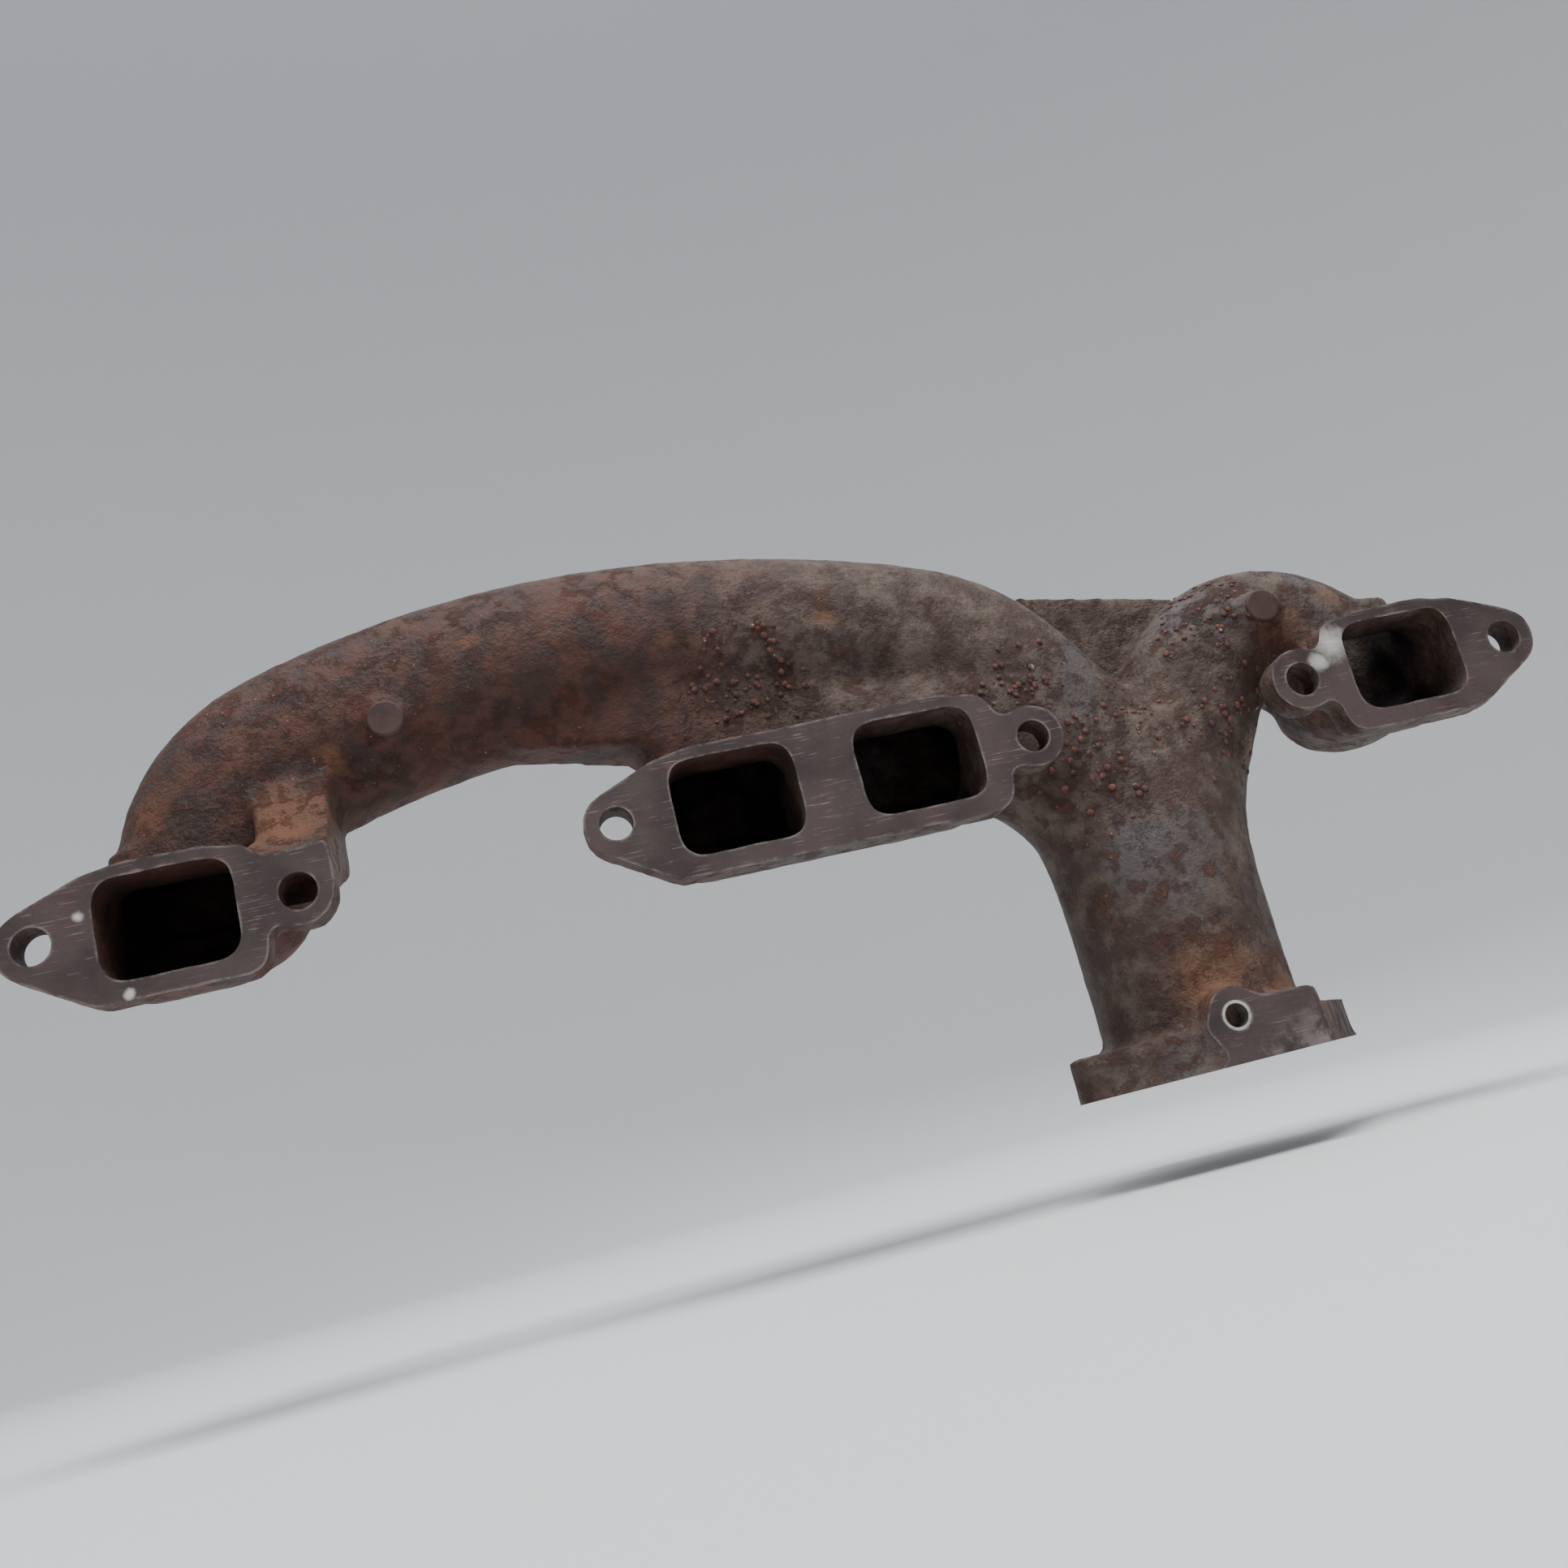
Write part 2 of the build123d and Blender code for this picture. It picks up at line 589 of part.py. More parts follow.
with BuildPart() as counterweight_screw:
    with BuildSketch(Plane.YZ.offset(shaft_x - lock_flat_reach)) as lock_shank:
        with Locations((lock_y, shaft_z)):
            Circle(lock_screw_d / 2)
    extrude(lock_shank.sketch, amount=lock_flat_reach - shaft_d / 2 - lock_tip_gap)
    with BuildSketch(Plane.YZ.offset(shaft_x - lock_flat_reach)) as lock_head:
        with Locations((lock_y, shaft_z)):
            Circle(lock_head_d / 2)
    extrude(lock_head.sketch, amount=-lock_head_height)
    fillet(counterweight_screw.edges().group_by(Axis.X)[0], lock_head_edge)
counterweight_screw.part.label = "counterweight_screw"
export_step(counterweight_screw.part, "parts/counterweight_screw.step")

# =====================================================================================
# thermostatic_spring, spring_anchor_pin, stop_pin, spring_retaining_clip
# =====================================================================================
tab_start_x = shaft_x + strip_inner_r + strip_thickness
tab_end_x = shaft_x - strip_inner_r + tab_end_gap
leg_x = shaft_x + strip_outer_r
with BuildPart() as thermostatic_spring:
    with BuildSketch(Plane.XZ.offset(-spring_y)) as spiral:
        # the inner tab, through the slot in the shaft
        with Locations((tab_end_x, shaft_z)):
            Rectangle(tab_start_x - tab_end_x, strip_thickness, align=(Align.MIN, Align.CENTER))
        # the turns, as half-rings that step outwards
        for turn in range(strip_half_turns):
            inner_r = strip_inner_r + turn * strip_step
            upper = turn % 2 == 0
            with BuildSketch(Plane.XY, mode=Mode.PRIVATE) as half_ring:
                Circle(inner_r + strip_thickness)
                Circle(inner_r, mode=Mode.SUBTRACT)
                kept_half = (Align.CENTER, Align.MIN if upper else Align.MAX)
                Rectangle(4 * inner_r, 4 * inner_r, align=kept_half, mode=Mode.INTERSECT)
            centre_x = shaft_x if upper else shaft_x + strip_step
            add(half_ring.sketch.moved(Location((centre_x, shaft_z))))
        # the outer leg, straight up, and the hook over the anchor pin
        with Locations((leg_x, shaft_z)):
            Rectangle(strip_thickness, leg_rise, align=(Align.MIN, Align.MIN))
        with BuildSketch(Plane.XY, mode=Mode.PRIVATE) as hook:
            Circle(eye_r + strip_thickness)
            Circle(eye_r, mode=Mode.SUBTRACT)
            Rectangle(4 * eye_r, 4 * eye_r, align=(Align.CENTER, Align.MIN), mode=Mode.INTERSECT)
        add(hook.sketch.moved(Location((anchor_x, anchor_z))))
    extrude(spiral.sketch, amount=-strip_width)
thermostatic_spring.part.label = "thermostatic_spring"
export_step(thermostatic_spring.part, "parts/thermostatic_spring.step")

with BuildPart() as spring_anchor_pin:
    post(anchor_x, anchor_z, anchor_d, outer_boss_y - pin_seat, clip_y)
    chamfer(spring_anchor_pin.edges().group_by(Axis.Y)[-1], pin_chamfer)
spring_anchor_pin.part.label = "spring_anchor_pin"
export_step(spring_anchor_pin.part, "parts/spring_anchor_pin.step")

with BuildPart() as stop_pin:
    post(stop_x, stop_z, stop_d, outer_boss_y - pin_seat, hub_y + counterweight_thickness + pin_end_proud)
    chamfer(stop_pin.edges().group_by(Axis.Y)[-1], pin_chamfer)
stop_pin.part.label = "stop_pin"
export_step(stop_pin.part, "parts/stop_pin.step")

with BuildPart() as spring_retaining_clip:
    post(shaft_x, shaft_z, clip_d, clip_y, clip_y + clip_thickness)
    post(shaft_x, shaft_z, shaft_d, clip_y, clip_y + clip_thickness, Mode.SUBTRACT)
spring_retaining_clip.part.label = "spring_retaining_clip"
export_step(spring_retaining_clip.part, "parts/spring_retaining_clip.step")
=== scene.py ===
"""The look of a cast-iron exhaust manifold with a heat-control valve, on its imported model.

Every size is in metres, in the model's own frame: X along the ports, Y away from the cylinder
head, Z up. The sections follow the part as it is made: cast, machined, then fitted with its
plugs, bushes, valve, counterweight and spring.
"""

import json
from math import cos, pi, radians, sin

import bmesh
import bpy
import numpy as np
from mathutils import Matrix, Vector
from mathutils.bvhtree import BVHTree


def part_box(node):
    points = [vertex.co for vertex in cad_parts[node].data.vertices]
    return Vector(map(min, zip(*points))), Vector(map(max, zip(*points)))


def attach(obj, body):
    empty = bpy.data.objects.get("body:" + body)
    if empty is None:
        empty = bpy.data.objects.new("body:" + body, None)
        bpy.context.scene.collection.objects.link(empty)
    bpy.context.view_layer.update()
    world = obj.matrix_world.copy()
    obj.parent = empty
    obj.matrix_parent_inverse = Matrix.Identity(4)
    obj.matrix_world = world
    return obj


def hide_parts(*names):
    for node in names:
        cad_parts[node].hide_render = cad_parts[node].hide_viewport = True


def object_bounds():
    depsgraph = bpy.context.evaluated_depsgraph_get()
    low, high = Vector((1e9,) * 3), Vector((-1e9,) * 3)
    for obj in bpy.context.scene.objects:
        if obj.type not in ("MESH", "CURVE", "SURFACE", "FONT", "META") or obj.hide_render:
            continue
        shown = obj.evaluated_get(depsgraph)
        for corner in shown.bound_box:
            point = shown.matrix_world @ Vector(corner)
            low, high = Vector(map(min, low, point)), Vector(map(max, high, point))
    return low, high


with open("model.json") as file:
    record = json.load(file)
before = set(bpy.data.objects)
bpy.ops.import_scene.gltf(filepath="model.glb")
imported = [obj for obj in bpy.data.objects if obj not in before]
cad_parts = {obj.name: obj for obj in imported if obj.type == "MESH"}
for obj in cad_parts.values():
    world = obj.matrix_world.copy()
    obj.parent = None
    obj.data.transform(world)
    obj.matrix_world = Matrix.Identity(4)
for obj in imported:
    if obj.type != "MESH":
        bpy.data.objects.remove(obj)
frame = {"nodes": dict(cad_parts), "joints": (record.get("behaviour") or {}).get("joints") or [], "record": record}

# =====================================================================================
# Rough casting
# One grey-iron sand casting: runners, flanges and neck come out of the mould with soft
# edges, undrilled lugs, and some extra metal on every face that will be machined.
# =====================================================================================
cad_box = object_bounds()
joint = frame["joints"][0]
shaft_centre = Vector(joint["pos_m"])
mounts = {mount["name"]: mount for mount in frame["record"]["mounts"]}

allowance = 0.005
face_tolerance = 0.0002
casting_grain = 0.0021
fettling_passes = 8
flange_thickness = 0.013
outlet_thickness = 0.015
hole_overfill = 0.0016
boss_height = 0.03
stud_line = Vector((0.047, 0.027, 0.0)).normalized()

outlet_face_z = cad_box[0][2]
boss_end_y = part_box("manifold_casting")[1][1]
boss_front_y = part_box("shaft_bush_engine_side")[0][1]


def copy_of(node):
    """A new mesh object with a node's faces, merged, in the model's place."""
    mesh = frame["nodes"][node].data.copy()
    mesh.materials.clear()
    shape = bmesh.new()
    shape.from_mesh(mesh)
    bmesh.ops.remove_doubles(shape, verts=shape.verts, dist=1e-6)
    shape.to_mesh(mesh)
    shape.free()
    copy = bpy.data.objects.new(node + "_surface", mesh)
    bpy.context.scene.collection.objects.link(copy)
    return copy


def rod(shape, start, end, radius, sides=48):
    """Adds a closed round bar from start to end."""
    start, end = Vector(start), Vector(end)
    along = end - start
    turn = along.to_track_quat("Z", "Y").to_matrix().to_4x4()
    place = Matrix.Translation((start + end) / 2) @ turn
    bmesh.ops.create_cone(shape, cap_ends=True, segments=sides, radius1=radius,
                          radius2=radius, depth=along.length, matrix=place)


def block(shape, low, high):
    """Adds a closed box between two corners."""
    low, high = Vector(low), Vector(high)
    size = Matrix.Diagonal((*(high - low), 1.0))
    bmesh.ops.create_cube(shape, size=1.0, matrix=Matrix.Translation((low + high) / 2) @ size)


def mesh_object(name, shape):
    """A linked object made from a bmesh, which is freed."""
    mesh = bpy.data.meshes.new(name)
    shape.to_mesh(mesh)
    shape.free()
    new = bpy.data.objects.new(name, mesh)
    bpy.context.scene.collection.objects.link(new)
    return new


def discard(*objects):
    """Removes working pieces and their meshes."""
    for unwanted in objects:
        mesh = unwanted.data
        bpy.data.objects.remove(unwanted)
        bpy.data.meshes.remove(mesh)


def apply_all(piece):
    """Replaces a piece's mesh by the result of its modifiers."""
    graph = bpy.context.evaluated_depsgraph_get()
    finished = bpy.data.meshes.new_from_object(piece.evaluated_get(graph))
    rough = piece.data
    piece.modifiers.clear()
    piece.data = finished
    bpy.data.meshes.remove(rough)


def round_node_rod(shape, node, extra_radius, extra_length):
    """A bar where a round piece that lies along Y goes into the casting."""
    low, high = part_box(node)
    centre_x, centre_z = (low[0] + high[0]) / 2, (low[2] + high[2]) / 2
    radius = (high[0] - low[0]) / 2 + extra_radius
    end_y = min(high[1], boss_end_y) + extra_length
    rod(shape, (centre_x, low[1] - extra_length, centre_z), (centre_x, end_y, centre_z), radius)


def drilled_holes(shape, extra_radius, extra_length, fitted_length):
    """Bars in every drilled hole: bolts, studs, bushes, pins and core plugs."""
    for name, mount in mounts.items():
        if mount["kind"] != "bolt_pattern":
            continue
        centre, axis, dims = Vector(mount["pos_m"]), Vector(mount["axis"]), mount["dims"]
        on_studs = "pcd_mm" in dims
        depth = outlet_thickness if on_studs else flange_thickness
        half = stud_line * dims["pcd_mm"] / 2000 if on_studs else Vector((dims["spacing_x_mm"] / 2000, 0, 0))
        for hole in (centre - half, centre + half):
            radius = dims["hole_r_mm"] / 1000 + extra_radius
            rod(shape, hole + axis * extra_length, hole - axis * (depth + fitted_length), radius)
    for node in ("shaft_bush_engine_side", "shaft_bush_outer_side", "core_plug_front",
                 "core_plug_rear", "spring_anchor_pin", "stop_pin"):
        round_node_rod(shape, node, extra_radius, fitted_length)


casting = copy_of("manifold_casting")
shape = bmesh.new()
shape.from_mesh(casting.data)
for vertex in shape.verts:
    if vertex.co.y < face_tolerance:
        vertex.co.y -= allowance
    if vertex.co.z < outlet_face_z + face_tolerance:
        vertex.co.z -= allowance
    if vertex.co.y > boss_end_y - face_tolerance:
        vertex.co.y += allowance
    if abs(vertex.co.y - boss_front_y) < face_tolerance and vertex.co.z < outlet_face_z + boss_height:
        vertex.co.y -= allowance
drilled_holes(shape, hole_overfill, allowance, 0.0)
shape.to_mesh(casting.data)
shape.free()

remesh = casting.modifiers.new("mould", "REMESH")
remesh.mode = "VOXEL"
remesh.voxel_size = casting_grain
fettle = casting.modifiers.new("fettle", "SMOOTH")
fettle.iterations = fettling_passes
fettle.factor = 0.5
for label, scale, depth in (("sand_waves", 0.016, 0.0007), ("sand_grain", 0.0045, 0.0005)):
    pattern = bpy.data.textures.new(label, "CLOUDS")
    pattern.noise_scale = scale
    pattern.noise_depth = 3
    sand = casting.modifiers.new(label, "DISPLACE")
    sand.texture = pattern
    sand.texture_coords = "LOCAL"
    sand.strength = depth
    sand.mid_level = 1.0
apply_all(casting)

# =====================================================================================
# Machining
# The port faces, the outlet face and the boss ends are milled flat, then the bolt,
# stud, bush, pin and core holes are drilled, which leaves them with crisp edges.
# =====================================================================================
reach = 0.4
cutter_depth = 0.03
cutter_step = 0.001
boss_cutter_front_y = -0.02
boss_low = (shaft_centre.x - 0.03, outlet_face_z - 0.02)
boss_high = (shaft_centre.x + 0.034, outlet_face_z + 0.028)
drill_fit = 0.0004
merge_distance = 1e-6
rim_width = 0.0009
facing = 0.99
milled_tolerance = 0.00002

mill = bmesh.new()
block(mill, (-reach, -cutter_depth, -reach), (reach, 0.0, reach))
block(mill, (-reach, cutter_step - cutter_depth, -reach), (reach, reach, outlet_face_z))
block(mill, (-reach, boss_end_y, 10 * cutter_step - reach), (reach, reach, reach))
block(mill, (boss_low[0], boss_cutter_front_y, boss_low[1]), (boss_high[0], boss_front_y, boss_high[1]))
drill = bmesh.new()
drilled_holes(drill, 0.0, allowance, drill_fit)
for cutter in (mesh_object("mill", mill), mesh_object("drill", drill)):
    cut = casting.modifiers.new(cutter.name, "BOOLEAN")
    cut.operation = "DIFFERENCE"
    cut.solver = "EXACT"
    cut.use_self = cutter.name == "mill"
    cut.object = cutter
    apply_all(casting)
    discard(cutter)


def is_milled(face):
    """True for a face that lies in one of the milled planes."""
    middle = face.calc_center_median()
    at_ports = face.normal.y < -facing and abs(middle.y) < milled_tolerance
    at_outlet = face.normal.z < -facing and abs(middle.z - outlet_face_z) < milled_tolerance
    at_boss_end = face.normal.y > facing and abs(middle.y - boss_end_y) < milled_tolerance
    at_boss_front = face.normal.y < -facing and abs(middle.y - boss_front_y) < milled_tolerance
    return at_ports or at_outlet or at_boss_end or at_boss_front


shape = bmesh.new()
shape.from_mesh(casting.data)
bmesh.ops.remove_doubles(shape, verts=shape.verts, dist=merge_distance)
milled = [face for face in shape.faces if is_milled(face)]
for face in milled:
    face.material_index = 1
worn = shape.verts.layers.float.new("worn")
rims = bmesh.ops.inset_region(shape, faces=milled, thickness=rim_width, use_even_offset=True)
for face in rims["faces"]:
    face.material_index = 1
    for vertex in face.verts:
        outer = any(not is_milled(other) for other in vertex.link_faces)
        vertex[worn] = 1.0 if outer else 0.0
        vertex.co.y = max(vertex.co.y, 0.0)
        vertex.co.z = max(vertex.co.z, outlet_face_z)
shape.to_mesh(casting.data)
shape.free()
casting.name = "iron_casting"

# =====================================================================================
# Weathering of the casting
# What years of heat and damp leave on it, kept with each point of its surface: how
# enclosed the point is, for black that is sooting in the passages and painted shade in
# every enclosed recess, how hollow, for trapped rust, and where scale grows.
# =====================================================================================
enclosure_reach = 0.07
enclosure_directions = 24
enclosure_lift = 0.0006
enclosure_passes = 4
grazing = 0.05
hollow_passes = 6
blister_floor = 0.06
blister_clearance = 0.003
blister_enclosure_limit = 0.7
scale_clusters = (
    ((-0.011, 0.028, 0.048), 0.019), ((0.082, 0.027, 0.021), 0.015), ((0.091, 0.020, -0.004), 0.015),
    ((0.100, 0.015, -0.018), 0.016), ((0.117, 0.020, 0.005), 0.014), ((0.150, 0.025, -0.006), 0.018),
    ((0.157, 0.030, 0.013), 0.016), ((0.160, 0.026, 0.038), 0.018), ((-0.060, 0.070, 0.090), 0.022),
    ((0.120, 0.083, -0.030), 0.022), ((-0.190, 0.070, 0.040), 0.020), ((0.020, 0.074, 0.030), 0.020),
)


def set_point_values(mesh, name, values):
    """Stores one number for each point of a mesh."""
    layer = mesh.attributes.new(name, "FLOAT", "POINT")
    layer.data.foreach_set("value", np.asarray(values, dtype=np.float32))


def point_array(mesh, what):
    """The places or normals of a mesh's points."""
    values = np.empty(len(mesh.vertices) * 3, dtype=np.float32)
    mesh.vertices.foreach_get(what, values)
    return values.reshape(-1, 3)


def even_directions(count):
    """Directions spread evenly over the sphere along a golden spiral."""
    directions = []
    for step in range(count):
        height = 1 - 2 * (step + 0.5) / count
        turn = step * pi * (3 - 5 ** 0.5)
        ring = (1 - height * height) ** 0.5
        directions.append(Vector((ring * cos(turn), ring * sin(turn), height)))
    return directions


def enclosure(mesh):
    """For each point, the share of the directions on its open side that soon meet metal."""
    shape = bmesh.new()
    shape.from_mesh(mesh)
    tree = BVHTree.FromBMesh(shape)
    directions = even_directions(enclosure_directions)
    shares = []
    for vertex in shape.verts:
        start = vertex.co + vertex.normal * enclosure_lift
        open_side = [way for way in directions if way.dot(vertex.normal) > grazing]
        hits = sum(1 for way in open_side if tree.ray_cast(start, way, enclosure_reach)[0] is not None)
        shares.append(hits / max(len(open_side), 1))
    shape.free()
    return np.array(shares)


def smoothed(mesh, values, passes):
    """Each point's value averaged with its neighbours' a number of times."""
    ends = np.empty(len(mesh.edges) * 2, dtype=np.int64)
    mesh.edges.foreach_get("vertices", ends)
    first, second = ends.reshape(-1, 2).T
    count = np.bincount(ends, minlength=len(values))
    for _ in range(passes):
        total = np.bincount(first, weights=values[second], minlength=len(values))
        total += np.bincount(second, weights=values[first], minlength=len(values))
        values = (values + total / np.maximum(count, 1)) / 2
    return values


def hollowness(mesh):
    """For each point, how much its neighbours stand above its own surface."""
    places, normals = point_array(mesh, "co"), point_array(mesh, "normal")
    ends = np.empty(len(mesh.edges) * 2, dtype=np.int64)
    mesh.edges.foreach_get("vertices", ends)
    first, second = ends.reshape(-1, 2).T
    step = places[second] - places[first]
    length = np.linalg.norm(step, axis=1) + 1e-9
    rise_first = (step * normals[first]).sum(1) / length
    rise_second = -(step * normals[second]).sum(1) / length
    total = np.bincount(first, weights=rise_first, minlength=len(places))
    total += np.bincount(second, weights=rise_second, minlength=len(places))
    count = np.bincount(ends, minlength=len(places))
    return smoothed(mesh, total / np.maximum(count, 1), hollow_passes)


def cluster_strength(mesh):
    """How thickly scale blisters grow at each point, from the cluster centres."""
    places = point_array(mesh, "co")
    strength = np.zeros(len(places))
    for centre, radius in scale_clusters:
        distance = np.linalg.norm(places - np.array(centre), axis=1)
        strength = np.maximum(strength, np.exp(-((distance / radius) ** 2)))
    above_outlet = places[:, 2] > outlet_face_z + blister_clearance
    clear_of_milling = (places[:, 1] > blister_clearance) & above_outlet
    return np.clip(strength - blister_floor, 0, 1) * clear_of_milling


# the enclosure share kept below turns black in the material: sooting inside the passages, and painted shade in
# every enclosed recess
soot_and_shade_share = smoothed(casting.data, enclosure(casting.data), enclosure_passes)
set_point_values(casting.data, "soot_and_shade", soot_and_shade_share)
set_point_values(casting.data, "hollow", hollowness(casting.data))
blister_strength = cluster_strength(casting.data) * (soot_and_shade_share < blister_enclosure_limit)
set_point_values(casting.data, "scale", blister_strength)

# =====================================================================================
# Finish of the cast surface
# Grey iron that has rusted and been burnt: red-brown on the long runner, taupe and
# bluish where the gas is hottest, orange in the corners, and black on enclosed points:
# sooting inside the passages and painted shade in every enclosed recess.
# =====================================================================================
rust_red = (0.078, 0.030, 0.019, 1)
rust_dark = (0.034, 0.019, 0.015, 1)
burnt_brown = (0.052, 0.030, 0.023, 1)
burnt_taupe = (0.105, 0.076, 0.058, 1)
burnt_blue = (0.080, 0.070, 0.067, 1)
fresh_orange = (0.170, 0.064, 0.024, 1)
pale_speck = (0.300, 0.250, 0.210, 1)
# the black below goes on enclosed points: sooting in the passages and painted shade in every recess
soot_and_shade_black = (0.006, 0.005, 0.005, 1)
orange_spots = (
    ((0.114, 0.012, -0.091), 0.020), ((0.143, 0.010, -0.100), 0.022), ((0.184, 0.030, -0.006), 0.016),
    ((0.185, 0.018, 0.022), 0.016), ((-0.176, 0.016, 0.026), 0.020), ((-0.106, 0.025, 0.080), 0.005),
    ((-0.158, 0.025, 0.049), 0.006), ((-0.220, 0.030, 0.042), 0.008), ((0.018, 0.022, 0.0645), 0.005),
    ((-0.039, 0.025, 0.068), 0.005), ((0.204, 0.035, 0.030), 0.016), ((0.040, 0.074, 0.050), 0.016),
)


def add_node(tree, kind, inputs, **settings):
    """Adds a node; each of its inputs is a plain value or another node's output."""
    new = tree.nodes.new(kind)
    for name, value in settings.items():
        setattr(new, name, value)
    for name, value in inputs.items():
        if isinstance(value, bpy.types.NodeSocket):
            tree.links.new(value, new.inputs[name])
        else:
            new.inputs[name].default_value = value
    return new


def new_finish(name):
    """A material, its node tree, its shader and the object coordinates."""
    material = bpy.data.materials.new(name)
    material.use_nodes = True
    tree = material.node_tree
    place = add_node(tree, "ShaderNodeTexCoord", {}).outputs["Object"]
    return material, tree, tree.nodes["Principled BSDF"], place


def noise(tree, place, scale, detail, roughness):
    """A cloudy pattern with so many clouds to the metre."""
    inputs = {"Vector": place, "Scale": scale, "Detail": detail, "Roughness": roughness}
    return add_node(tree, "ShaderNodeTexNoise", inputs).outputs["Fac"]


def band(tree, value, low, high, start=0.0, end=1.0):
    """Start below low, end above high, and a smooth change between them."""
    inputs = {"Value": value, "From Min": low, "From Max": high, "To Min": start, "To Max": end}
    kind = "ShaderNodeMapRange"
    return add_node(tree, kind, inputs, interpolation_type="SMOOTHSTEP").outputs["Result"]


def combine(tree, how, first, second):
    """Two values added, multiplied or compared."""
    return add_node(tree, "ShaderNodeMath", {0: first, 1: second}, operation=how).outputs[0]


def faded(tree, value, share):
    """A value made weaker by a share."""
    return combine(tree, "MULTIPLY", value, share)


def mix(tree, share, below, above):
    """One colour laid over another by a share."""
    inputs = {0: share, 6: below, 7: above}
    return add_node(tree, "ShaderNodeMix", inputs, data_type="RGBA").outputs[2]


def point_value(tree, name):
    """A number kept with each point of the surface."""
    return add_node(tree, "ShaderNodeAttribute", {}, attribute_name=name).outputs["Fac"]


def patch(tree, place, centre, radius, ragged):
    """One inside a ragged round patch and zero outside it."""
    inputs = {0: place, 1: centre}
    distance = add_node(tree, "ShaderNodeVectorMath", inputs, operation="DISTANCE").outputs["Value"]
    uneven = combine(tree, "MULTIPLY", ragged, radius * 1.6)
    edge = combine(tree, "ADD", distance, uneven)
    return band(tree, edge, radius * 0.9, radius * 1.9, 1.0, 0.0)


def cast_iron_finish():
    """The weathered skin of the casting."""
    material, tree, shader, place = new_finish("weathered_cast_iron")
    along = add_node(tree, "ShaderNodeSeparateXYZ", {0: place}).outputs["X"]
    clouds = noise(tree, place, 16, 6, 0.6)
    mottle = noise(tree, place, 75, 9, 0.72)
    crust = noise(tree, place, 130, 8, 0.7)
    grit = noise(tree, place, 520, 4, 0.6)
    sand = noise(tree, place, 1100, 2, 0.5)
    # heat: the middle body and the neck are burnt paler than the long runner
    drift = combine(tree, "ADD", along, faded(tree, clouds, 0.12))
    heat = band(tree, drift, -0.01, 0.09)
    burnt = mix(tree, band(tree, mottle, 0.42, 0.62), burnt_brown, burnt_taupe)
    burnt = mix(tree, band(tree, clouds, 0.52, 0.66), burnt, burnt_blue)
    red = mix(tree, band(tree, mottle, 0.38, 0.60), rust_dark, rust_red)
    colour = mix(tree, heat, red, burnt)
    # brown and red rust crust in patches over both
    crusted = combine(tree, "MULTIPLY", band(tree, crust, 0.50, 0.62), band(tree, clouds, 0.30, 0.60))
    colour = mix(tree, faded(tree, crusted, 0.75), colour, rust_red)
    pits = band(tree, grit, 0.40, 0.30)
    colour = mix(tree, faded(tree, pits, 0.7), colour, rust_dark)
    # scale clusters are darker and redder
    scaled = combine(tree, "MULTIPLY", point_value(tree, "scale"), band(tree, crust, 0.40, 0.55))
    colour = mix(tree, faded(tree, scaled, 0.8), colour, rust_dark)
    specks = combine(tree, "MULTIPLY", band(tree, grit, 0.66, 0.72), band(tree, clouds, 0.35, 0.60))
    colour = mix(tree, faded(tree, specks, 0.7), colour, pale_speck)
    # orange rust in hollows and in a few places where water stands
    hollow = combine(tree, "ADD", point_value(tree, "hollow"), faded(tree, mottle, 0.1))
    orange = band(tree, hollow, 0.13, 0.24)
    orange = combine(tree, "MULTIPLY", orange, band(tree, crust, 0.40, 0.60))
    for centre, radius in orange_spots:
        orange = combine(tree, "MAXIMUM", orange, patch(tree, place, centre, radius, crust))
    colour = mix(tree, faded(tree, orange, 0.5), colour, fresh_orange)
    # enclosed points turn black: sooting inside the passages, and painted shade darkening every other enclosed
    # recess
    black = band(tree, point_value(tree, "soot_and_shade"), 0.72, 0.92)
    colour = mix(tree, black, colour, soot_and_shade_black)
    tree.links.new(colour, shader.inputs["Base Color"])
    gloss = band(tree, crusted, 0.0, 1.0, 0.56, 0.80)
    gloss = combine(tree, "ADD", gloss, faded(tree, grit, 0.14))
    gloss = combine(tree, "MAXIMUM", gloss, faded(tree, black, 0.95))
    tree.links.new(gloss, shader.inputs["Roughness"])
    shader.inputs["Specular IOR Level"].default_value = 0.28
    height = combine(tree, "ADD", faded(tree, grit, 0.55), faded(tree, sand, 0.30))
    height = combine(tree, "ADD", height, faded(tree, crust, 1.3))
    height = combine(tree, "ADD", height, faded(tree, crusted, 0.5))
    bump = add_node(tree, "ShaderNodeBump", {"Strength": 1.0, "Distance": 0.0009, "Height": height})
    tree.links.new(bump.outputs["Normal"], shader.inputs["Normal"])
    return material


rubbed_spots = (
    ((0.1870, 0.0, 0.0110), 0.0075), ((0.1805, 0.0, 0.0050), 0.0040),
    ((-0.2257, 0.0, -0.0208), 0.0020), ((-0.2378, 0.0, 0.0062), 0.0022),
)


